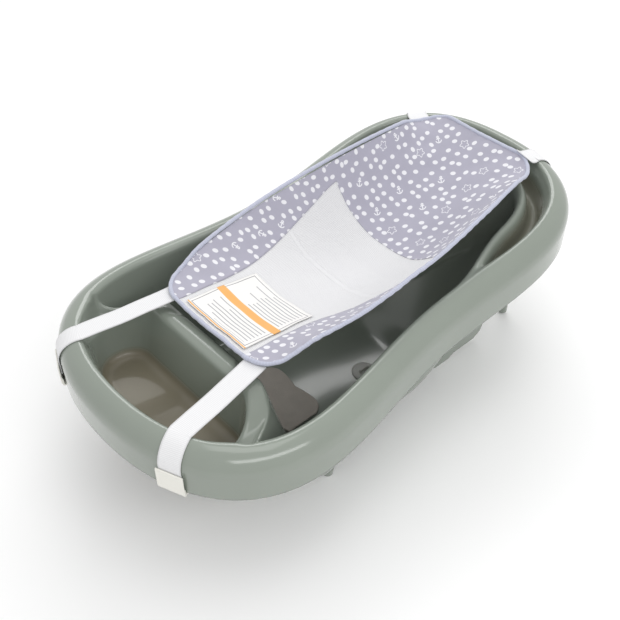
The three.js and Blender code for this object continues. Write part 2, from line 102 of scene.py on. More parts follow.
# ------------------------------------------------------------------ looks
SAGE = (0.250, 0.280, 0.242)
# Painted shade: the warm, dark colour laid on the floors of the foot well and the head trough.
POCKET_SHADE = (0.205, 0.182, 0.128)
WHITE_INK = (0.83, 0.83, 0.86, 1)
OVAL = dict(spacing=14.0, length=3.9, width=2.9)
MOTIF = dict(spacing=46.0, randomness=0.5, reach=9.0, clear=11.0)
BAND = dict(x=-132.0, half_width=5.6, line_x=-179.5, line_half_width=1.0)
RULE_PITCH = 5.2

# The camera stands at this angle and distance from its target, in radians and millimetres.
CAMERA = dict(
    azimuth=-0.7345, elevation=0.7502, distance=1157.5, target=(-33.6, -0.8, 142.7), lens=52.26)
LIGHTS = [
    ("key", (-0.35, -1.45, 1.5), (1.7, 0.4), 9),
    ("back", (0.95, 1.05, 1.45), (1.5, 0.7), 11),
    ("top", (0.1, -0.1, 2.0), (0.9, 0.9), 4),
]
SKY = 0.82


def smooth(t):
    t = np.clip(t, 0, 1)
    return t * t * (3 - 2 * t)


def lerp(a, b, t):
    return a + (b - a) * t


def soft_max(a, b, k):
    """The larger of a and b, with the corner between them rounded over a width k."""
    h = np.maximum(k - np.abs(a - b), 0) / k
    return np.maximum(a, b) + h * h * (k / 4)


def soft_min(a, b, k):
    return -soft_max(-a, -b, k)


# ------------------------------------------------------------------ outline of the rim
def outline(theta):
    """Points of the rim's inner edge in plan, with the share of the half length they are at."""
    cos, sin = np.cos(theta), np.sin(theta)
    e = 2 / np.where(cos > 0, SQUARENESS["head"], SQUARENESS["foot"])
    c = np.sign(cos) * np.abs(cos) ** e
    waist = SIDE["waist"] * np.exp(-(((c - SIDE["waist_at"]) / SIDE["waist_span"]) ** 2))
    half = SIDE["middle"] + SIDE["taper"] * c + SIDE["flare"] * c * c - waist
    return HALF_LENGTH * c, half * np.sign(sin) * np.abs(sin) ** e, c


def rim_height(c):
    return RIM["middle"] + RIM["rise"] * c + RIM["ends"] * c**2 + RIM["ease"] * c**3


def rim_at(theta):
    """Point, outward normal and height of the rim's inner edge at an angle."""
    step = 1e-3
    x, y, c = outline(np.float64(theta))
    x0, y0, _ = outline(np.float64(theta - step))
    x1, y1, _ = outline(np.float64(theta + step))
    normal = Vector((float(y1 - y0), float(x0 - x1), 0)).normalized()
    return Vector((float(x), float(y), float(rim_height(c)))), normal


class RimMap:
    """Inset from the rim's inner edge and the rim's height there, over a fine grid in plan."""

    def __init__(self, cell=1.0, margin=40, count=2880):
        theta = (np.arange(count) + 0.5) / count * 2 * np.pi
        ox, oy, oc = outline(theta)
        self.cell = cell
        self.x0 = -(HALF_LENGTH + margin)
        self.y0 = -(200 + margin)
        nx = int(2 * -self.x0 / cell) + 2
        ny = int(2 * -self.y0 / cell) + 2
        gx = self.x0 + np.arange(nx) * cell
        gy = self.y0 + np.arange(ny) * cell
        inset = np.empty((nx, ny), np.float64)
        share = np.empty((nx, ny), np.float64)
        ax, ay = np.roll(ox, -1) - ox, np.roll(oy, -1) - oy
        length2 = ax * ax + ay * ay
        for i, x in enumerate(gx):
            dx = x - ox[None, :]
            dy = gy[:, None] - oy[None, :]
            near = np.argmin(dx * dx + dy * dy, axis=1)
            best = np.full(ny, np.inf)
            for shift in (-1, 0):
                k = (near + shift) % count
                px, py = x - ox[k], gy - oy[k]
                t = np.clip((px * ax[k] + py * ay[k]) / length2[k], 0, 1)
                qx, qy = px - t * ax[k], py - t * ay[k]
                dist = np.hypot(qx, qy)
                side = np.sign(ax[k] * qy - ay[k] * qx)
                c = lerp(oc[k], oc[(k + 1) % count], t)
                closer = dist < best
                best = np.where(closer, dist, best)
                inset[i] = np.where(closer, dist * side, inset[i])
                share[i] = np.where(closer, c, share[i])
        self.inset = inset
        self.height = rim_height(share)

    def __call__(self, x, y):
        u = (x - self.x0) / self.cell
        v = (y - self.y0) / self.cell
        i = np.clip(u.astype(int), 0, self.inset.shape[0] - 2)
        j = np.clip(v.astype(int), 0, self.inset.shape[1] - 2)
        fu, fv = u - i, v - j
        out = []
        for grid in (self.inset, self.height):
            low = lerp(grid[i, j], grid[i + 1, j], fu)
            high = lerp(grid[i, j + 1], grid[i + 1, j + 1], fu)
            out.append(lerp(low, high, fv))
        return out


# ------------------------------------------------------------------ the shell as one signed field
def ridge_height(y):
    return RIDGE["top"] - RIDGE["drop"] * smooth((np.abs(y) - RIDGE["start"]) / RIDGE["over"])


def ridge_bend(y):
    """How far the ridge's ends bend back towards the foot end."""
    t = np.maximum(np.abs(y) - BEND["start"], 0) / BEND["over"]
    return BEND["by"] * np.where(t < 1, t * t, 2 * t - 1)


def plane_scale(run, rise):
    """Makes a sloping face's horizontal gap into a distance."""
    return 1 / math.hypot(1, run / rise)


def cavities(x, y, z, inset, rim):
    """Signed distance to the hollows: negative inside the upper bowl, basin, foot well or trough."""
    depth = rim - z
    lean = plane_scale(DRAFT, 1)
    share = smooth((x - CREST["start"]) / CREST["over"])
    wall = (TOP_INSET + DRAFT * depth - inset) * lean
    bend = ridge_bend(y)
    crest_top = rim - CREST["below"] * share
    deck = lerp(ridge_height(y), crest_top, smooth((x + bend + 186) / 30))
    bowl = soft_max(wall, deck - z, ROUND["lip"])

    up = (z - FLOOR) / (rim - 2 - FLOOR)
    up_ridge = np.clip((z - FLOOR) / (RIDGE["top"] - FLOOR), 0, 1.2)
    floor_inset = TOP_INSET + DRAFT * (rim - FLOOR)
    basin_inset = lerp(floor_inset, TOP_INSET + share * (CREST["inset"] + CREST["shoulder"]), up)
    basin_wall = (basin_inset - inset) * lean
    foot_run = BASIN["foot_floor"] - BASIN["foot_top"]
    foot_face = lerp(BASIN["foot_floor"], BASIN["foot_top"] - bend, up_ridge) - x
    head_run = HALF_LENGTH - BASIN["head_floor"]
    recline = x - lerp(BASIN["head_floor"], HALF_LENGTH, up)
    basin = soft_max(basin_wall, foot_face * plane_scale(foot_run, RIDGE["top"] - FLOOR),
                     ROUND["foot_wall"])
    basin = soft_max(basin, recline * plane_scale(head_run, BASIN_RISE), ROUND["recline"])
    basin = soft_max(basin, FLOOR - z, ROUND["basin_floor"])

    up_well = (z - WELL["floor"]) / (RIDGE["top"] - WELL["floor"])
    rear = x + bend - lerp(WELL["rear_floor"], WELL["rear_top"], up_well)
    ends = np.abs(y) - lerp(WELL["half_width"], WELL["top_half_width"], up_well)
    well_depth = RIDGE["top"] - WELL["floor"]
    rear_run = WELL["rear_top"] - WELL["rear_floor"]
    ends_run = WELL["top_half_width"] - WELL["half_width"]
    well = soft_max(wall, rear * plane_scale(rear_run, well_depth), ROUND["well_wall"])
    well = soft_max(well, ends * plane_scale(ends_run, well_depth), ROUND["well_ends"])
    well = soft_max(well, WELL["floor"] - z, ROUND["well_floor"])

    trough_depth = TROUGH["shallow"] + TROUGH["depth"] * share
    inner = TOP_INSET + CREST["inset"] * share
    inner_face = inset - (inner - lerp(TROUGH["lip"], TROUGH["bottom"], depth / trough_depth))
    trough = soft_max(wall, inner_face, ROUND["trough_wall"])
    trough = soft_max(trough, (rim - trough_depth) - z, ROUND["trough_floor"])
    trough = np.where(x > NO_TROUGH_BEFORE, trough, OUTSIDE)

    hollow = soft_min(bowl, basin, lerp(ROUND["ridge_edge"], ROUND["crest_edge"], share))
    hollow = soft_min(hollow, well, ROUND["ridge_edge"])
    return soft_min(hollow, trough, lerp(ROUND["trough_start"], ROUND["trough_edge"], share))


def top_field(x, y, z, rim_map):
    """Signed distance to the moulding's top surface: negative below it."""
    inset, rim = rim_map(x, y)
    out, up = -inset, z - rim
    rounded = np.hypot(out, up + ROLL_RADIUS) - ROLL_RADIUS
    straight = np.maximum(out - ROLL_RADIUS, up)
    outer = np.where((out > 0) & (up > -ROLL_RADIUS), rounded, straight)
    return soft_max(outer, -cavities(x, y, z, inset, rim), ROUND["lip"])


def surface_nets(field, origin, cell):
    """Quads of the zero surface of a field sampled on a grid, one vertex to each crossed cell."""
    inside = field < 0
    nx, ny, nz = field.shape
    corners = [(i, j, k) for i in (0, 1) for j in (0, 1) for k in (0, 1)]
    block = lambda a, i, j, k: a[i:nx - 1 + i, j:ny - 1 + j, k:nz - 1 + k]
    count = np.zeros((nx - 1, ny - 1, nz - 1), np.int8)
    for c in corners:
        count += block(inside, *c)
    crossed = (count > 0) & (count < 8)
    index = np.full(crossed.shape, -1, np.int64)
    cells = np.argwhere(crossed)
    index[crossed] = np.arange(len(cells))

    total = np.zeros((len(cells), 3))
    weight = np.zeros(len(cells))
    for a in corners:
        for axis in range(3):
            if a[axis]:
                continue
            b = list(a)
            b[axis] = 1
            fa = block(field, *a)[crossed]
            fb = block(field, *b)[crossed]
            cut = (fa < 0) != (fb < 0)
            t = np.where(cut, fa / np.where(cut, fa - fb, 1), 0)
            p = np.tile(np.array(a, float), (len(cells), 1))
            p[:, axis] += t
            total[cut] += p[cut]
            weight[cut] += 1
    verts = (cells + total / weight[:, None]) * cell + origin

    quads = []
    for axis in range(3):
        u, v = (axis + 1) % 3, (axis + 2) % 3
        low = [slice(None)] * 3
        high = [slice(None)] * 3
        low[axis] = slice(0, -1)
        high[axis] = slice(1, None)
        for s in (low, high):
            s[u] = slice(1, -1)
            s[v] = slice(1, -1)
        fa, fb = inside[tuple(low)], inside[tuple(high)]
        edges = np.argwhere(fa != fb)
        edges[:, u] += 1
        edges[:, v] += 1
        leaving = inside[tuple(edges.T)]
        around = []
        for du, dv in ((-1, -1), (0, -1), (0, 0), (-1, 0)):
            c = edges.copy()
            c[:, u] += du
            c[:, v] += dv
            around.append(index[tuple(c.T)])
        quad = np.stack(around, axis=1)
        quad[~leaving] = quad[~leaving][:, ::-1]
        quads.append(quad)
    return verts, np.concatenate(quads)


def gradient(field, p, step=0.25):
    g = np.empty_like(p)
    for axis in range(3):
        q = p.copy()
        q[:, axis] += step
        high = field(q)
        q[:, axis] -= 2 * step
        g[:, axis] = (high - field(q)) / (2 * step)
    return g


def settle(p, field, cell, rounds=3):
    """Moves points onto the zero surface of a field, by at most a cell."""
    start = p.copy()
    for _ in range(rounds):
        f = field(p)
        g = gradient(field, p)
        p = p - g * (f / np.maximum((g * g).sum(1), 0.05))[:, None]
    away = p - start
    length = np.linalg.norm(away, axis=1)
    return start + away * np.minimum(1, cell / np.maximum(length, 1e-9))[:, None]


def trimmed(verts, quads, keep):
    """Drops the quads whose middle isn't kept, with a mask of the points on the new edge."""
    quads = quads[keep(verts[quads].mean(axis=1))]
    used, quads = np.unique(quads, return_inverse=True)
    quads = quads.reshape(-1, 4)
    edges = np.sort(np.concatenate([quads[:, [i, (i + 1) % 4]] for i in range(4)]), axis=1)
    pairs, count = np.unique(edges, axis=0, return_counts=True)
    border = np.zeros(len(used), bool)
    border[pairs[count == 1].ravel()] = True
    return verts[used], quads, border


def shell_mesh(rim_map):
    """The moulding's top surface, from the floor of the basin to the bottom edge of the skirt."""
    cell = 2.4
    low = np.array([-(HALF_LENGTH + 33), -205.0, FLOOR - 5.3])
    high = np.array([HALF_LENGTH + 33, 205.0, 259.0])
    n = ((high - low) / cell).astype(int) + 1
    gx, gy, gz = (low[a] + np.arange(n[a]) * cell for a in range(3))
    yy, zz = np.meshgrid(gy, gz, indexing="ij")
    sheets = [top_field(np.full_like(yy, x), yy, zz, rim_map) for x in gx]
    verts, quads = surface_nets(np.array(sheets, np.float32), low, cell)
    verts = settle(verts, lambda p: top_field(*p.T, rim_map), cell)

    hem = lambda p: rim_map(p[:, 0], p[:, 1])[1] - SKIRT_DEPTH
    outside = lambda p: rim_map(p[:, 0], p[:, 1])[0] < 0
    verts, quads, border = trimmed(verts, quads, lambda p: ~outside(p) | (p[:, 2] > hem(p)))
    verts[border, 2] = hem(verts[border])

    middle = np.array([DRAIN["x"], DRAIN["y"]])
    from_drain = lambda p: np.linalg.norm(p[:, :2] - middle, axis=1)
    on_floor = lambda p: p[:, 2] < FLOOR + 5
    verts, quads, border = trimmed(
        verts, quads, lambda p: ~on_floor(p) | (from_drain(p) > DRAIN["radius"]))
    border &= on_floor(verts)
    arm = verts[border, :2] - middle
    verts[border, :2] = middle + arm * (DRAIN["radius"] / from_drain(verts[border]))[:, None]
    return verts, quads


# ------------------------------------------------------------------ material graphs
class Graph:
    """Short calls for building one material out of nodes."""

    def __init__(self, name, colour, roughness, sheen=0.0, coat=0.0):
        self.material = bpy.data.materials.new(name)
        self.material.use_nodes = True
        self.tree = self.material.node_tree
        self.shader = self.tree.nodes["Principled BSDF"]
        self.shader.inputs["Base Color"].default_value = (*colour, 1)
        self.shader.inputs["Roughness"].default_value = roughness
        self.shader.inputs["Sheen Weight"].default_value = sheen
        self.shader.inputs["Coat Weight"].default_value = coat
        self.shader.inputs["Coat Roughness"].default_value = 0.08

    def put(self, socket, value):
        if isinstance(value, bpy.types.NodeSocket):
            self.tree.links.new(value, socket)
        else:
            socket.default_value = value

    def node(self, kind, inputs=None, **settings):
        n = self.tree.nodes.new(kind)
        for key, value in settings.items():
            setattr(n, key, value)
        for key, value in (inputs or {}).items():
            self.put(n.inputs[key], value)
        return n

    def math(self, operation, *values):
        n = self.node("ShaderNodeMath", operation=operation)
        for socket, value in zip(n.inputs, values):
            self.put(socket, value)
        return n.outputs[0]

    def vector(self, operation, *values):
        n = self.node("ShaderNodeVectorMath", operation=operation)
        for socket, value in zip(n.inputs, values):
            self.put(socket, value)
        return n

    def mix(self, share, a, b):
        n = self.node("ShaderNodeMix", data_type="RGBA")
        for index, value in ((0, share), (6, a), (7, b)):
            self.put(n.inputs[index], value)
        return n.outputs[2]

    def millimetres(self, output="Object"):
        """Object or UV coordinates in millimetres."""
        place = self.node("ShaderNodeTexCoord").outputs[output]
        n = self.vector("SCALE", place)
        n.inputs["Scale"].default_value = 1000
        return n.outputs[0]

    def split(self, place):
        n = self.node("ShaderNodeSeparateXYZ", {"Vector": place})
        return n.outputs["X"], n.outputs["Y"], n.outputs["Z"]

    def noise(self, place, size, detail=3.0):
        """Noise from 0 to 1 with features of about that size in millimetres."""
        n = self.node("ShaderNodeTexNoise",
                      {"Vector": place, "Scale": 1 / size, "Detail": detail})
        return n.outputs["Fac"]

    def within(self, value, limit, edge=0.15):
        """1 where value is below limit, falling to 0 over a thin edge."""
        return self.node("ShaderNodeMapRange", {
            "Value": value, "From Min": limit - edge, "From Max": limit + edge,
            "To Min": 1.0, "To Max": 0.0}).outputs[0]

    def bump(self, height, depth):
        """Raises the surface by height times depth, in millimetres."""
        n = self.node("ShaderNodeBump", {"Height": height, "Distance": depth * MM, "Strength": 1.0})
        self.tree.links.new(n.outputs["Normal"], self.shader.inputs["Normal"])

    def away(self, a, b):
        return self.math("ABSOLUTE", self.math("SUBTRACT", a, b))

    def radius(self, a, b):
        squares = [self.math("MULTIPLY", t, t) for t in (a, b)]
        return self.math("SQRT", self.math("ADD", *squares))

    def wave(self, length, pitch):
        return self.math("SINE", self.math("MULTIPLY", length, 2 * math.pi / pitch))

    def cells(self, place, spacing, randomness):
        """Cells scattered over cloth coordinates, as a node."""
        return self.node("ShaderNodeTexVoronoi", {
            "Vector": place, "Scale": 1 / spacing, "Randomness": randomness},
            voronoi_dimensions="2D")

    def base(self, colour):
        self.put(self.shader.inputs["Base Color"], colour)


def shade(colour, factor):
    return (*(min(1, c * factor) for c in colour), 1)


def weave(g, u, v, pitch):
    """Height of a plain weave, from 0 to 1, from cloth coordinates in millimetres."""
    return g.math("MULTIPLY_ADD", g.math("MULTIPLY", g.wave(u, pitch), g.wave(v, pitch)), 0.5, 0.5)


def moulded_plastic(name, colour, roughness, coat, grain=0.02):
    """Injection-moulded plastic: faint unevenness in gloss, colour and surface."""
    g = Graph(name, colour, roughness, coat=coat)
    place = g.millimetres()
    broad = g.noise(place, 60)
    fine = g.noise(place, 1.6, 4)
    g.base(g.mix(broad, shade(colour, 0.96), shade(colour, 1.04)))
    g.put(g.shader.inputs["Roughness"],
          g.math("MULTIPLY_ADD", fine, roughness * 0.4, roughness * 0.8))
    g.bump(fine, grain)
    return g


def sage_material():
    """The tub's glossy sage plastic, with a warm, darker painted shade and a rougher gloss on the floors
    of its pockets.
    """
    g = moulded_plastic("sage_plastic", SAGE, 0.15, 0.3)
    plain = g.shader.inputs["Base Color"].links[0].from_socket
    gloss = g.shader.inputs["Roughness"].links[0].from_socket
    share = g.node("ShaderNodeAttribute", attribute_name="pocket").outputs["Fac"]
    # Painted shade on the pocket floors, mixed in by the pocket attribute.
    g.base(g.mix(share, plain, (*POCKET_SHADE, 1)))
    g.put(g.shader.inputs["Roughness"], g.math("MULTIPLY_ADD", share, 0.3, gloss))
    return g.material


def foam_material():
    colour = (0.50, 0.46, 0.415)
    g = Graph("pad_foam", colour, 0.75, sheen=0.15)
    place = g.millimetres()
    cells = g.node("ShaderNodeTexVoronoi", {"Vector": place, "Scale": 1 / 1.1}).outputs["Distance"]
    g.base(g.mix(g.noise(place, 14), shade(colour, 0.88), shade(colour, 1.12)))
    g.bump(cells, 0.25)
    return g.material


def rubber_material():
    return moulded_plastic("plug_rubber", (0.62, 0.62, 0.59), 0.5, 0.0, 0.05).material


def webbing_material():
    """White ribbed webbing, with painted shade in the grooves between its ribs; V runs along the strap."""
    colour = (0.80, 0.80, 0.81)
    g = Graph("white_webbing", colour, 0.8, sheen=0.3)
    u, v, _ = g.split(g.millimetres("UV"))
    ribs = g.math("MULTIPLY_ADD", g.wave(v, 1.9), 0.32, 0.5)
    height = g.math("MULTIPLY_ADD", g.wave(u, 1.5), 0.15, ribs)
    selvedge = g.within(g.math("ABSOLUTE", u), STRAP["width"] / 2 - 1.6, 0.3)
    # Painted shade: lighter on the raised ribs, darker in the grooves between them; the edge bands take
    # the darker tone.
    g.base(g.mix(g.math("MULTIPLY", height, selvedge), shade(colour, 0.88), shade(colour, 1.05)))
    g.bump(height, 0.18)
    return g.material


def netting_material():
    """White warp-knitted mesh with small round openings in rows, painted dark as painted shade of the
    hollow behind them.
    """
    colour = (0.78, 0.78, 0.79)
    g = Graph("white_mesh", colour, 0.8, sheen=0.35)
    place = g.millimetres("UV")
    hole = g.within(g.cells(place, 2.0, 0.12).outputs["Distance"], 0.26, 0.10)
    thread = g.noise(place, 0.7, 2)
    x, y, _ = g.split(g.millimetres())
    across = g.away(x, SEAM_TAPE["x"])
    backed = g.within(across, SEAM_TAPE["width"] / 2, 0.3)
    row = g.within(g.away(across, 3.4), 0.35)
    thread_up = g.math("LESS_THAN", g.math("FRACT", g.math("DIVIDE", y, 3.0)), 0.72)
    stitch = g.math("MULTIPLY", row, thread_up)
    # Painted shade: the openings are darkened for the shaded hollow seen through them, and less so where
    # the seam tape lies behind.
    hole_shade = g.math("MULTIPLY", hole, g.math("MULTIPLY_ADD", backed, -0.35, 0.45))
    g.base(g.mix(hole_shade, shade(colour, 1.0), shade(colour, 0.45)))
    relief = g.math("MULTIPLY_ADD", thread, 0.4, g.math("MULTIPLY_ADD", backed, 1.2, stitch))
    g.bump(g.math("SUBTRACT", relief, hole), 0.3)
    return g.material


def folded_angle(g, u, v, count):
    """Angle round the origin as a fold between 0 at each of count spokes and 1 between them."""
    angle = g.math("MULTIPLY", g.math("ARCTAN2", v, u), count / (2 * math.pi))
    return g.math("PINGPONG", angle, 0.5)


def anchor_shape(g, u, v):
    """Distance to the lines of a small anchor 11 mm tall."""
    beyond = lambda t, reach: g.math("SUBTRACT", g.math("ABSOLUTE", t), reach)
    ring = g.away(g.radius(u, g.math("SUBTRACT", v, 4.9)), 1.3)
    stem = g.math("MAXIMUM", g.math("ABSOLUTE", u), beyond(v, 3.6))
    bar = g.math("MAXIMUM", g.away(v, 2.2), beyond(u, 2.2))
    arc = g.away(g.radius(u, g.math("SUBTRACT", v, 0.2)), 4.3)
    arc = g.math("MAXIMUM", arc, g.math("ADD", v, 1.2))
    return g.math("MINIMUM", g.math("MINIMUM", ring, stem), g.math("MINIMUM", bar, arc))


def star_shape(g, u, v):
    """Distance to the outline of a rounded five-pointed star 13 mm across."""
    edge = g.math("MULTIPLY_ADD", folded_angle(g, u, v, 5), -6.0, 6.6)
    return g.away(g.radius(u, v), edge)


def scattered(g, place, spacing, randomness, lean, swing):
    """Position within the nearest of many scattered cells, a random number for it, and its middle.

    Each cell is turned by lean, give or take swing, in radians.
    """
    cell = g.cells(place, spacing, randomness)
    local = g.vector("SUBTRACT", place, cell.outputs["Position"]).outputs[0]
    red, green, _ = g.split(cell.outputs["Color"])
    turned = g.node("ShaderNodeVectorRotate", {
        "Vector": local, "Angle": g.math("MULTIPLY_ADD", red, 2 * swing, lean - swing)},
        rotation_type="Z_AXIS")
    u, v, _ = g.split(turned.outputs[0])
    return u, v, green, cell.outputs["Position"]


def print_material():
    """Lavender-grey woven cloth printed with white ovals, anchors and plain stars."""
    colour = (0.41, 0.40, 0.48)
    g = Graph("sling_print", colour, 0.8, sheen=0.3)
    place = g.millimetres("UV")
    u, v, _ = g.split(place)

    ou, ov, _, middle = scattered(g, place, OVAL["spacing"], 0.5, 0.9, 0.55)
    oval = g.radius(g.math("DIVIDE", ou, OVAL["length"]), g.math("DIVIDE", ov, OVAL["width"]))
    mu, mv, kind, _ = scattered(g, place, MOTIF["spacing"], MOTIF["randomness"], 1.2, 1.4)
    gap = g.cells(middle, MOTIF["spacing"], MOTIF["randomness"]).outputs["Distance"]
    clear = g.math("GREATER_THAN", gap, MOTIF["clear"] / MOTIF["spacing"])
    ovals = g.math("MULTIPLY", g.within(oval, 1.0, 0.08), clear)
    anchor = g.within(anchor_shape(g, mu, mv), 0.75)
    star = g.within(star_shape(g, mu, mv), 0.6)
    either = g.node("ShaderNodeMix", {0: g.math("GREATER_THAN", kind, 0.5), 2: anchor, 3: star},
                    data_type="FLOAT").outputs[0]
    motif = g.math("MULTIPLY", either, g.within(g.radius(mu, mv), MOTIF["reach"], 0.2))
    ink = g.math("MAXIMUM", ovals, motif)
    cloth = g.mix(g.noise(place, 25), shade(colour, 0.94), shade(colour, 1.06))
    threads = weave(g, u, v, 1.15)
    printed = g.mix(ink, cloth, WHITE_INK)
    g.base(g.mix(g.math("MULTIPLY", threads, 0.14), printed, (0.28, 0.27, 0.34, 1)))
    g.bump(threads, 0.12)
    return g.material


def binding_material():
    """Pale blue-lavender cotton binding, with painted shade in its twill and stitch grooves; U runs along
    it, with a row of stitches.
    """
    colour = (0.50, 0.52, 0.63)
    g = Graph("piping_cotton", colour, 0.8, sheen=0.3)
    u, v, _ = g.split(g.millimetres("UV"))
    twill = g.math("MULTIPLY", g.wave(g.math("ADD", u, v), 1.2), 0.12)
    height = g.math("MULTIPLY_ADD", g.wave(u, 3.4), 0.18, twill)
    # Painted shade: lighter on the raised twill and stitches, darker in the grooves between them.
    g.base(g.mix(g.math("MULTIPLY_ADD", height, 0.8, 0.5), shade(colour, 0.86), shade(colour, 1.08)))
    g.bump(height, 0.35)
    return g.material


def label_material():
    """White satin label with an orange band and line, a thin frame and plain grey rules."""
    satin = (0.82, 0.81, 0.79)
    g = Graph("label_satin", satin, 0.55, sheen=0.2)
    x, y, _ = g.split(g.millimetres())
    band = g.math("MAXIMUM", g.within(g.away(x, BAND["x"]), BAND["half_width"]),
                  g.within(g.away(x, BAND["line_x"]), BAND["line_half_width"]))
    side = g.math("ABSOLUTE", y)
    middle_x = (LABEL["from_x"] + LABEL["to_x"]) / 2
    half_x = (LABEL["to_x"] - LABEL["from_x"]) / 2
    border = g.math("MAXIMUM", g.math("SUBTRACT", side, LABEL["half_width"] - 4.0),
                    g.math("SUBTRACT", g.away(x, middle_x), half_x - 5.0))
    frame_line = g.within(g.math("ABSOLUTE", border), 0.45)
    row = g.math("DIVIDE", x, RULE_PITCH)
    line = g.within(g.away(g.math("FRACT", row), 0.5), 0.13, 0.03)
    length = g.node("ShaderNodeTexWhiteNoise", {"W": g.math("FLOOR", row)}, noise_dimensions="1D")
    end = g.math("MULTIPLY_ADD", length.outputs["Value"], 34.0, 8.0)
    drawn = g.math("MULTIPLY", line, g.math("LESS_THAN", y, end))
    inside = g.math("MULTIPLY", g.within(side, 45.0), g.within(border, -3.0))
    clear = g.math("GREATER_THAN", g.away(x, BAND["x"]), 9.0)
    rules = g.math("MULTIPLY", drawn, g.math("MULTIPLY", inside, clear))
    colour = g.mix(rules, (*satin, 1), (0.34, 0.34, 0.36, 1))
    colour = g.mix(frame_line, colour, (0.20, 0.20, 0.21, 1))
    g.base(g.mix(band, colour, (0.80, 0.40, 0.10, 1)))
    g.bump(weave(g, x, y, 0.8), 0.05)
    return g.material


# ------------------------------------------------------------------ meshes
def mesh_object(name, verts, faces, body="tub"):
    """An object from points in millimetres."""
    mesh = bpy.data.meshes.new(name)
    verts = np.asarray(verts, dtype=float)
    if isinstance(faces, np.ndarray):
        mesh.vertices.add(len(verts))
        mesh.vertices.foreach_set("co", (verts * MM).ravel())
        size = faces.shape[1]
        mesh.loops.add(faces.size)
        mesh.loops.foreach_set("vertex_index", faces.ravel().astype(np.int32))
        mesh.polygons.add(len(faces))
        mesh.polygons.foreach_set("loop_start", np.arange(len(faces), dtype=np.int32) * size)
        mesh.update(calc_edges=True)
        mesh.validate()
    else:
        mesh.from_pydata([tuple(v * MM) for v in verts], [], faces)
        mesh.update()
    mesh.polygons.foreach_set("use_smooth", [True] * len(mesh.polygons))
    obj = bpy.data.objects.new(name, mesh)
    bpy.context.scene.collection.objects.link(obj)
    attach(obj, body)
    return obj


def stand_in(piece, look, node):
    """Gives a piece its material, and hides the CAD node it stands for."""
    piece.data.materials.append(look)
    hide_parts(node)


def grid_faces(rows, columns, round_rows=False, round_columns=False):
    """Quads of a grid of points stored row by row, closed round either way if asked."""
    i = np.arange(rows if round_rows else rows - 1)
    j = np.arange(columns if round_columns else columns - 1)
    i, j = (a.ravel() for a in np.meshgrid(i, j, indexing="ij"))
    up, right = (i + 1) % rows, (j + 1) % columns
    return np.stack([i * columns + j, up * columns + j, up * columns + right, i * columns + right], 1)


def set_uv(obj, uv):
    """One UV for each vertex, in millimetres, stored in metres."""
    mesh = obj.data
    layer = mesh.uv_layers.new(name="cloth")
    index = np.empty(len(mesh.loops), np.int32)
    mesh.loops.foreach_get("vertex_index", index)
    layer.data.foreach_set("uv", (np.asarray(uv)[index] * MM).ravel())


def thicken(obj, thickness, offset=0.0):
    solid = obj.modifiers.new("thickness", "SOLIDIFY")
    solid.thickness = thickness * MM
    solid.offset = offset
    return solid


def soften(obj, width, segments=3):
    """Rounds the edges of a hard-edged piece and keeps its flats flat."""
    bevel = obj.modifiers.new("edges", "BEVEL")
    bevel.width = width * MM
    bevel.segments = segments
    bevel.limit_method = "ANGLE"
    obj.modifiers.new("flats", "WEIGHTED_NORMAL").keep_sharp = True


def prism_mesh(section, place):
    """Points and faces of a closed prism: a section's points at each of two ends."""
    n = len(section)
    verts = [place(p, end) for end in (0, 1) for p in section]
    faces = [(j, (j + 1) % n, n + (j + 1) % n, n + j) for j in range(n)]
    return verts, faces + [tuple(reversed(range(n))), tuple(range(n, 2 * n))]


def lathe_mesh(profile, x, y, sides=40):
    """Points and faces of a turned form; the profile's first and last points are on the axis."""
    verts = [np.array([x, y, profile[0][1]])]
    for radius, z in profile[1:-1]:
        for k in range(sides):
            a = 2 * math.pi * k / sides
            verts.append(np.array([x + radius * math.cos(a), y + radius * math.sin(a), z]))
    verts.append(np.array([x, y, profile[-1][1]]))
    rings = len(profile) - 2
    ring = lambda i, k: 1 + i * sides + k % sides
    faces = [(0, ring(0, k + 1), ring(0, k)) for k in range(sides)]
    for i in range(rings - 1):
        faces += [(ring(i, k), ring(i, k + 1), ring(i + 1, k + 1), ring(i + 1, k)) for k in range(sides)]
    last = len(verts) - 1
    return verts, faces + [(ring(rings - 1, k), ring(rings - 1, k + 1), last) for k in range(sides)]


def joined(parts):
    verts, faces = [], []
    for part_verts, part_faces in parts:
        start = len(verts)
        verts += list(part_verts)
        faces += [tuple(start + i for i in face) for face in part_faces]
    return verts, faces


def outward(obj):
    """Turns every face to point out of its closed form."""
    bm = bmesh.new()
    bm.from_mesh(obj.data)
    bmesh.ops.recalc_face_normals(bm, faces=bm.faces)
    bm.to_mesh(obj.data)
    bm.free()


# ------------------------------------------------------------------ the moulding
def pocket_share(verts, rim_map):
    """Where the painted shade and rougher gloss go: 1 on the floors of the foot well and the head trough,
    0 elsewhere.
    """
    x, y, z = verts.T
    inset, rim = rim_map(x, y)
    well = smooth((WELL["floor"] + 14 - z) / 10) * smooth((-205 - ridge_bend(y) - x) / 12)
    share = smooth((x - CREST["start"]) / CREST["over"])
    between = smooth((CREST["inset"] + 2 - inset) / 4) * smooth((inset - 4) / 3)
    trough = share * between * smooth((rim - 14 - z) / 16)
    return np.clip(well + 0.55 * trough, 0, 1)


def make_shell(rim_map):
    verts, quads = shell_mesh(rim_map)
    shell = mesh_object("tub_moulding", verts, quads)
    # The pocket attribute carries the painted shade of the pocket floors to the material.
    pocket = shell.data.attributes.new("pocket", "FLOAT", "POINT")
    pocket.data.foreach_set("value", pocket_share(verts, rim_map).astype(np.float32))
    thicken(shell, WALL, -1)
    stand_in(shell, sage_material(), "tub_shell")
    return shell


def surface_height(x, y, rim_map):
    """Height of the moulding's top surface above a point in plan."""
    z = np.arange(FLOOR - 4, 260, 0.5)
    field = top_field(np.full_like(z, x), np.full_like(z, y), z, rim_map)
    return float(z[np.argmax(field > 0)])


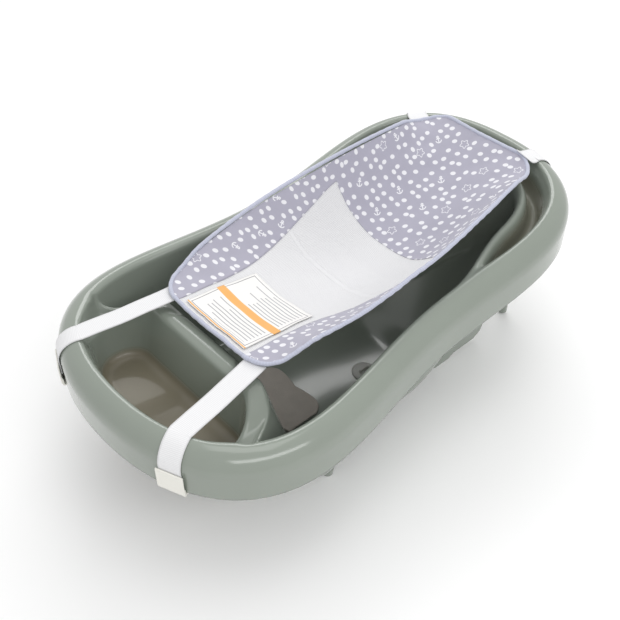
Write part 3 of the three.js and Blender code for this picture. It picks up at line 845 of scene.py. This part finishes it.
def make_legs(rim_map):
    """Foot pegs and the two ribs under the sloping back, up into the moulding's wall."""
    parts = []
    for x, y in [(x, side * y) for x, y in FEET for side in (1, -1)]:
        r = FOOT_RADIUS
        around = [(x + r * math.cos(a), y + r * math.sin(a)) for a in np.arange(0, 6.28, 0.5)]
        top = min(surface_height(px, py, rim_map) for px, py in around) - 1
        profile = [(0, 0), (r - 3.4, 0), (r - 2.4, 0.4), (r - 1.7, 1.4), (r - 1.5, 3)]
        parts.append(lathe_mesh(profile + [(r, top), (0, top)], x, y, 32))
    half = RIB["thickness"] / 2
    for y in (RIB["y"], -RIB["y"]):
        stations = np.linspace(RIB["bottom"][-1][0], RIB["bottom"][0][0], 12)
        top = [(x, min(surface_height(x, y + s * half, rim_map) for s in (1, -1)) - 1.5) for x in stations]
        section = RIB["bottom"] + top
        parts.append(prism_mesh(
            section, lambda p, end: np.array([p[0], y + (2 * end - 1) * half, p[1]])))
    legs = mesh_object("tub_legs", *joined(parts))
    outward(legs)
    soften(legs, 1.2)
    stand_in(legs, moulded_plastic("leg_plastic", SAGE, 0.22, 0.4).material, "tub_shell")


# ------------------------------------------------------------------ sling
def sling_half(x, inset=0.0):
    """Half width of the sling at a place along it."""
    s = SLING
    foot = (s["middle_x"] - x) / (s["middle_x"] - s["foot_x"])
    head = (x - s["middle_x"]) / (s["head_x"] - s["middle_x"])
    narrow = np.where(x < s["middle_x"], s["foot_narrow"] * foot**2, s["head_narrow"] * head**2)
    radius = s["corner"] - inset

    def cut(d):
        run = radius - np.clip(d, 0, radius)
        return radius - np.sqrt(radius**2 - run**2)

    rounding = cut(x - s["foot_x"] - inset) + cut(s["head_x"] - inset - x)
    return s["half_width"] - inset - narrow - rounding


def sling_height(x, across):
    s = SLING
    foot = np.maximum(s["low_x"] - x, 0) / (s["low_x"] - s["foot_x"])
    head = np.maximum(x - s["low_x"], 0) / (s["head_x"] - s["low_x"])
    middle = np.where(x < s["low_x"], lerp(s["low_z"], s["foot_z"], foot**1.2),
                      lerp(s["low_z"], s["head_z"], head**1.6))
    edge = np.minimum(s["edge_z"] + s["edge_rise"] * (x - s["middle_x"]), s["head_z"] + 3)
    end_share = smooth((x - s["foot_x"]) / 70) * smooth((s["head_x"] - x) / 60)
    return lerp(middle, np.maximum(edge, middle), np.abs(across) ** 2.6 * lerp(0.35, 1, end_share))


def wrinkle(x, y):
    """Small folds of the hung cloth, stronger near its edges, in millimetres."""
    broad = np.sin(x / 23 + 1.4 * np.sin(y / 31)) + np.sin(y / 17 + x / 61 + 0.8 * np.sin(x / 27))
    cross = np.sin((x + 1.7 * y) / 13 + 0.9 * np.sin(x / 19)) * np.sin((x - y) / 37)
    edge = smooth(1 - (sling_half(x) - np.abs(y)) / 14)
    end = smooth(1 - np.minimum(x - SLING["foot_x"], SLING["head_x"] - x) / 16)
    pucker = np.sin(x / 2.3 + 0.6 * np.sin(x / 11)) * edge + np.sin(y / 2.5 + 0.7 * np.sin(y / 9)) * end
    return 0.55 * broad + 0.55 * cross + 0.4 * pucker


def sling_point(x, y, lift=0.0):
    """Points on the sling's surface, lifted along its normal."""
    half = lambda px, py: np.maximum(np.maximum(sling_half(px), np.abs(py)), 1)
    at = lambda px, py: sling_height(px, py / half(px, py))
    px = np.clip(x, SLING["foot_x"] + 1, SLING["head_x"] - 1)
    normal = np.stack([(at(px - 1, y) - at(px + 1, y)) / 2, (at(px, y - 1) - at(px, y + 1)) / 2,
                       np.ones_like(px)], -1)
    normal /= np.linalg.norm(normal, axis=-1, keepdims=True)
    rise = lift + wrinkle(x, y)
    return np.stack([x, y, at(x, y)], -1) + normal * np.asarray(rise)[..., None]


def cloth_piece(name, x, y, lift, thickness, look, node, slot, keep=None):
    """A sheet over a grid of places on the sling, with its cloth coordinates in millimetres."""
    points = sling_point(x, y, lift)
    rows, columns = x.shape
    faces = grid_faces(rows, columns)
    if keep is not None:
        faces = faces[keep.ravel()]
    middle = columns // 2
    along = np.linalg.norm(np.diff(points[:, middle], axis=0), axis=-1)
    across = np.linalg.norm(np.diff(points, axis=1), axis=-1)
    u = np.concatenate([[0], np.cumsum(along)])[:, None] * np.ones((1, columns))
    v = np.concatenate([np.zeros((rows, 1)), np.cumsum(across, axis=1)], axis=1)
    v -= v[:, middle:middle + 1]
    piece = mesh_object(name, points.reshape(-1, 3), faces)
    set_uv(piece, np.stack([u.ravel(), v.ravel()], 1))
    bm = bmesh.new()
    bm.from_mesh(piece.data)
    bmesh.ops.delete(bm, geom=[p for p in bm.verts if not p.link_faces], context="VERTS")
    bm.to_mesh(piece.data)
    bm.free()
    thicken(piece, thickness)
    stand_in(piece, look, node)
    return piece


def mesh_half(x):
    share = smooth((x + 130) / (MESH_PANEL["head_x"] + 130))
    return lerp(MESH_PANEL["foot_half"], MESH_PANEL["head_half"], share)


def eased(start, end, count):
    return lerp(start, end, (1 - np.cos(np.linspace(0, math.pi, count))) / 2)


def make_sling():
    fine = 1
    edge = PIPING_RADIUS - 0.6
    foot, head, seam = SLING["foot_x"] + edge, SLING["head_x"] - edge, MESH_PANEL["head_x"]
    body = eased(foot, seam, int(170 * fine))
    crown = eased(seam, head, int(110 * fine))[1:]
    x = np.concatenate([body, crown])
    half = sling_half(x, edge)
    at_seam = mesh_half(seam) / sling_half(np.float64(seam), edge)
    inner = np.where(x <= seam, np.minimum(mesh_half(x), half - 0.5), half * at_seam)
    side = np.linspace(0, 1, int(16 * fine) + 2)
    centre = np.linspace(-1, 1, int(90 * fine) + 1)[1:-1]
    columns = [-lerp(half, inner, t) for t in side] + [inner * t for t in centre]
    columns += [lerp(inner, half, t) for t in side]
    y = np.stack(columns, 1)
    strips = len(side) - 1
    keep = np.zeros((len(x) - 1, y.shape[1] - 1), bool)
    keep[:, :strips] = True
    keep[:, -strips:] = True
    keep[len(body) - 1:] = True
    xx = x[:, None] * np.ones_like(y)
    panel = cloth_piece("sling_print_panel", xx, y, 1.15, 0.8, print_material(),
                        "sling_panel", "sling_print", keep)

    bx = eased(foot, seam + 4, int(170 * fine))
    bhalf = np.minimum(mesh_half(np.minimum(bx, seam)) + 4, sling_half(bx, edge))
    by = bhalf[:, None] * np.linspace(-1, 1, int(120 * fine) + 1)[None, :]
    mesh = cloth_piece("sling_mesh_seat", bx[:, None] * np.ones_like(by), by, 0.35, 0.5,
                       netting_material(), "sling_mesh_panel", "netting")

    t = SEAM_TAPE
    tx = np.linspace(t["x"] - t["width"] / 2, t["x"] + t["width"] / 2, 9)
    ty = np.linspace(-t["half_width"], t["half_width"], 120)
    grid = np.meshgrid(tx, ty, indexing="ij")
    tape = cloth_piece("seam_tape", *grid, -0.75, 0.7, webbing_material(),
                       "seat_seam_tape", "webbing")

    n = LABEL
    lx = np.linspace(n["from_x"], n["to_x"], 60)
    ly = np.linspace(-n["half_width"], n["half_width"], 64)
    grid = np.meshgrid(lx, ly, indexing="ij")
    label = cloth_piece("care_label_sheet", *grid, n["lift"], 0.4, label_material(),
                        "care_label", "label")
    return panel, mesh, tape, label


def resampled(points, spacing):
    """A closed path's points at even spacing."""
    loop = np.vstack([points, points[:1]])
    run = np.concatenate([[0], np.cumsum(np.linalg.norm(np.diff(loop, axis=0), axis=1))])
    at = np.linspace(0, run[-1], int(run[-1] / spacing) + 1)[:-1]
    return np.stack([np.interp(at, run, loop[:, a]) for a in range(3)], 1), at


def make_piping():
    """Padded binding round the sling's whole edge."""
    side = eased(SLING["foot_x"], SLING["head_x"], 400)
    across = np.linspace(-0.9, 0.9, 60)
    lift = CLOTH / 2
    near = sling_point(side, -sling_half(side), lift)
    far = sling_point(side, sling_half(side), lift)[::-1]
    head_half = sling_half(np.float64(SLING["head_x"]))
    foot_half = sling_half(np.float64(SLING["foot_x"]))
    head = sling_point(np.full(60, float(SLING["head_x"])), across * head_half, lift)
    foot = sling_point(np.full(60, float(SLING["foot_x"])), -across * foot_half, lift)
    path, run = resampled(np.concatenate([near, head, far, foot]), 1.5)
    for _ in range(6):
        path = (np.roll(path, 1, 0) + 2 * path + np.roll(path, -1, 0)) / 4
    along = np.roll(path, -1, 0) - np.roll(path, 1, 0)
    along /= np.linalg.norm(along, axis=1, keepdims=True)
    out = np.cross(along, [0, 0, 1])
    out /= np.linalg.norm(out, axis=1, keepdims=True)
    up = np.cross(out, along)
    sides = 14
    angle = np.arange(sides) / sides * 2 * np.pi
    radius = PIPING_RADIUS * (1 + 0.05 * np.sin(run / 2.1) + 0.03 * np.sin(run / 7.7))
    ring = (np.cos(angle)[None, :, None] * out[:, None] + np.sin(angle)[None, :, None] * up[:, None])
    verts = path[:, None] + ring * radius[:, None, None]
    piping = mesh_object("sling_binding", verts.reshape(-1, 3),
                         grid_faces(len(path), sides, True, True))
    outward(piping)
    uv = np.stack([np.repeat(run, sides), np.tile(angle * PIPING_RADIUS, len(path))], 1)
    set_uv(piping, uv)
    stand_in(piping, binding_material(), "sling_piping")


# ------------------------------------------------------------------ straps and hooks
def rim_tangent(theta):
    before, _ = rim_at(theta - 0.02)
    after, _ = rim_at(theta + 0.02)
    return (after - before).normalized()


def strap_line(theta, start, lower):
    """Centre line of a strap from the sling's corner over the rolled rim, in millimetres."""
    rim, out = rim_at(theta)
    thick = STRAP["lift"] + STRAP["thickness"] / 2
    radius = ROLL_RADIUS + thick
    on_rim = lambda offset, up: rim + out * offset + Vector((0, 0, up))
    x = min(max(start[0], SLING["foot_x"]), SLING["head_x"])
    first = Vector((*start, float(sling_height(np.float64(x), 0.8)) - lower))
    last = on_rim(0, thick)
    inward = (first - last).normalized()
    first += inward * STRAP["tuck"] - Vector((0, 0, STRAP["tuck_drop"]))
    sag = lambda t: Vector((0, 0, 1.6 * math.sin(math.pi * t)))
    line = [first.lerp(last, t) - sag(t) for t in np.linspace(0, 1, 16)[:-1]]
    for a in np.linspace(0, math.pi / 2, 20):
        line.append(on_rim(radius * math.sin(a), radius * math.cos(a) - ROLL_RADIUS))
    line += [on_rim(radius, up) for up in np.linspace(-ROLL_RADIUS, STRAP["tail"] - SKIRT_DEPTH, 8)[1:]]
    return line


def make_strap(name, theta, start, lower):
    line = strap_line(theta, start, lower)
    tangent = rim_tangent(theta)
    columns = 13
    verts, uv, run = [], [], 0.0
    for i, p in enumerate(line):
        along = (line[min(i + 1, len(line) - 1)] - line[max(i - 1, 0)]).normalized()
        across = (tangent - along * tangent.dot(along)).normalized()
        up = across.cross(along).normalized()
        if i:
            run += (p - line[i - 1]).length
        for s in np.linspace(-0.5, 0.5, columns) * STRAP["width"]:
            verts.append(p + across * s + up * (0.25 * math.sin(run / 9) * abs(s) / 13))
            uv.append((s, run))
    strap = mesh_object(f"webbing_{name}", verts, grid_faces(len(line), columns))
    set_uv(strap, uv)
    thicken(strap, STRAP["thickness"])
    stand_in(strap, webbing_look, f"strap_{name}")


def make_hook(name, theta):
    """A hook over the skirt's bottom edge: front plate, ledge, and the lip behind the skirt."""
    rim, out = rim_at(theta)
    tangent = rim_tangent(theta)
    front = ROLL_RADIUS + HOOK["slot"] + HOOK["plate"]
    back = front - HOOK["plate"]
    lip = ROLL_RADIUS - WALL - HOOK["lip_clearance"]
    bottom = -SKIRT_DEPTH
    under = bottom - HOOK["below"]
    section = [
        (front - 0.6, bottom + HOOK["above"]), (front, bottom + HOOK["above"] - 3),
        (front, bottom + 1), (front - 1.4, under + 0.8), (front - 3, under), (lip - 2, under),
        (lip - 2, bottom + HOOK["lip"]), (lip, bottom + HOOK["lip"]), (lip, under + 2.4),
        (back - 1.6, under + 2.4), (back - 1.6, bottom + 6), (back, bottom + 10),
        (back, bottom + HOOK["above"])]

    def place(p, end):
        offset = out * p[0] + Vector((0, 0, p[1])) + tangent * ((end - 0.5) * HOOK["width"])
        return np.array(rim + offset)

    hook = mesh_object(f"grip_{name}", *prism_mesh(section, place), body=f"hook_{name}")
    outward(hook)
    soften(hook, 0.7)
    stand_in(hook, hook_look, f"rim_hook_{name}")


# ------------------------------------------------------------------ pads and drain plug
def pad_mesh(outline_points, thickness, place):
    """A foam pad with rounded edges and a slight crown, from its outline in its own plane."""
    outline_points = np.asarray(outline_points)
    centre = outline_points.mean(axis=0)
    reach = np.linalg.norm(outline_points - centre, axis=1).mean()
    rings = [(up / 3 * thickness, 1 - inset / reach) for up, inset in PAD_EDGE]
    rings += [(thickness, scale) for scale in (0.85, 0.6, 0.3)]
    n = len(outline_points)
    verts = []
    for up, scale in [(0.0, 0.3), (0.0, 0.6)] + rings:
        ring = centre + (outline_points - centre) * scale
        verts += [place(p[0], p[1], up) for p in ring]
    count = len(rings) + 2
    faces = [tuple(f) for f in grid_faces(count, n, round_columns=True)]
    return verts, faces + [tuple(range(n)), tuple(range((count - 1) * n, count * n))]


def make_pads():
    foam = foam_material()
    s = SEAT_PAD
    outline_points = []
    for t in np.linspace(-1, 1, 41):
        curve = s["waist"] * (1 - math.sin(abs(t) * math.pi * 0.8)) + 14 * abs(t) ** 8
        outline_points.append((s["to_x"] - curve, s["half_width"] * t))
    for t in np.linspace(1, -1, 41):
        outline_points.append((s["from_x"] + 3 * abs(t) ** 12, s["half_width"] * t * 0.998))
    flat = lambda x, y, up: np.array([x, y, FLOOR + PAD_LIFT + up])
    seat = mesh_object("seat_foam", *pad_mesh(outline_points, PAD_THICKNESS, flat))
    outward(seat)
    stand_in(seat, foam, "seat_pad")

    b = BACK_PAD
    foot = Vector((BASIN["head_floor"], 0, FLOOR))
    rim, out = rim_at(0.0)
    crest = rim - out * (TOP_INSET + CREST["inset"] + CREST["shoulder"])
    slope = Vector((crest.x, 0, crest.z - CREST["below"])) - foot
    slope.normalize()
    normal = Vector((-slope.z, 0, slope.x))
    power = lambda t: math.copysign(abs(t) ** 0.5, t)
    outline_points = []
    for a in np.linspace(0, 2 * math.pi, 81)[:-1]:
        outline_points.append((lerp(b["start"], b["end"], (1 + power(math.cos(a))) / 2),
                               b["half_width"] * power(math.sin(a))))
    sloping = lambda along, y, up: np.array(
        foot + slope * along + normal * (b["lift"] + up) + Vector((0, y, 0)))
    back = mesh_object("back_foam", *pad_mesh(outline_points, PAD_THICKNESS, sloping))
    outward(back)
    stand_in(back, foam, "back_pad")


def make_plug():
    r, f = DRAIN["radius"], DRAIN["flange"]
    top = FLOOR + DRAIN["lift"]
    profile = [(0, 8), (r - 2.4, 8), (r - 1.6, 8.8), (r - 0.6, top), (f - 0.3, top), (f, top + 0.5),
               (f - 0.4, top + 1.6), (f - 2.2, top + 2.7), (f - 5, top + 3), (0, top + 3)]
    grip = [(-8, 0), (-8, 6), (-6.8, 8), (-4.5, 8.5), (4.5, 8.5), (6.8, 8), (8, 6), (8, 0)]
    grip_place = lambda p, end: np.array(
        [DRAIN["x"] + p[0], DRAIN["y"] + (end - 0.5) * 3, top + 2.5 + p[1] * 0.7])
    plug = mesh_object("plug_rubber", *joined([
        lathe_mesh(profile, DRAIN["x"], DRAIN["y"]), prism_mesh(grip, grip_place)]), body="plug")
    outward(plug)
    soften(plug, 0.5, 2)
    stand_in(plug, rubber_material(), "drain_plug")


# ------------------------------------------------------------------ camera, floor and light
def camera():
    azimuth, elevation = CAMERA["azimuth"], CAMERA["elevation"]
    back = Vector((
        math.sin(azimuth) * math.cos(elevation),
        -math.cos(azimuth) * math.cos(elevation),
        math.sin(elevation),
    ))
    cam = bpy.data.objects.new("camera", bpy.data.cameras.new("camera"))
    cam.data.sensor_width = 36
    cam.data.lens = CAMERA["lens"]
    cam.data.clip_start = 0.05
    cam.data.clip_end = 50
    cam.location = Vector(CAMERA["target"]) * MM + back * CAMERA["distance"] * MM
    cam.rotation_mode = "QUATERNION"
    cam.rotation_quaternion = (-back).to_track_quat("-Z", "Y")
    bpy.context.scene.collection.objects.link(cam)
    bpy.context.scene.camera = cam


def area_light(name, place, size, power):
    """A soft light in metres that points at the middle of the tub."""
    light = bpy.data.lights.new(name, "AREA")
    light.shape = "RECTANGLE"
    light.size, light.size_y = size
    light.energy = power
    obj = bpy.data.objects.new(name, light)
    obj.location = place
    obj.rotation_mode = "QUATERNION"
    obj.rotation_quaternion = (Vector((0, 0, 0.1)) - Vector(place)).to_track_quat("-Z", "Y")
    bpy.context.scene.collection.objects.link(obj)


def studio():
    world = bpy.data.worlds.new("studio")
    world.use_nodes = True
    world.node_tree.nodes["Background"].inputs["Color"].default_value = (1, 1, 1, 1)
    world.node_tree.nodes["Background"].inputs["Strength"].default_value = SKY
    bpy.context.scene.world = world
    bpy.context.scene.view_settings.view_transform = "Standard"
    floor = bpy.data.meshes.new("floor")
    floor.from_pydata([(-6, -6, 0), (6, -6, 0), (6, 6, 0), (-6, 6, 0)], [], [(0, 1, 2, 3)])
    obj = bpy.data.objects.new("floor", floor)
    bpy.context.scene.collection.objects.link(obj)
    obj.location.z = -0.0005
    obj.data.materials.append(Graph("floor_paper", (0.95, 0.95, 0.95), 0.9).material)
    for name, place, size, power in LIGHTS:
        area_light(name, place, size, power)


camera()
studio()
webbing_look = webbing_material()
hook_look = moulded_plastic("hook_plastic", (0.80, 0.79, 0.73), 0.3, 0.2).material

rims = RimMap()
make_shell(rims)
make_legs(rims)
panel, mesh_seat, tape, label = make_sling()
make_piping()
for name, saddle in SADDLES.items():
    make_strap(name, **saddle)
    make_hook(name, saddle["theta"])
make_pads()
make_plug()
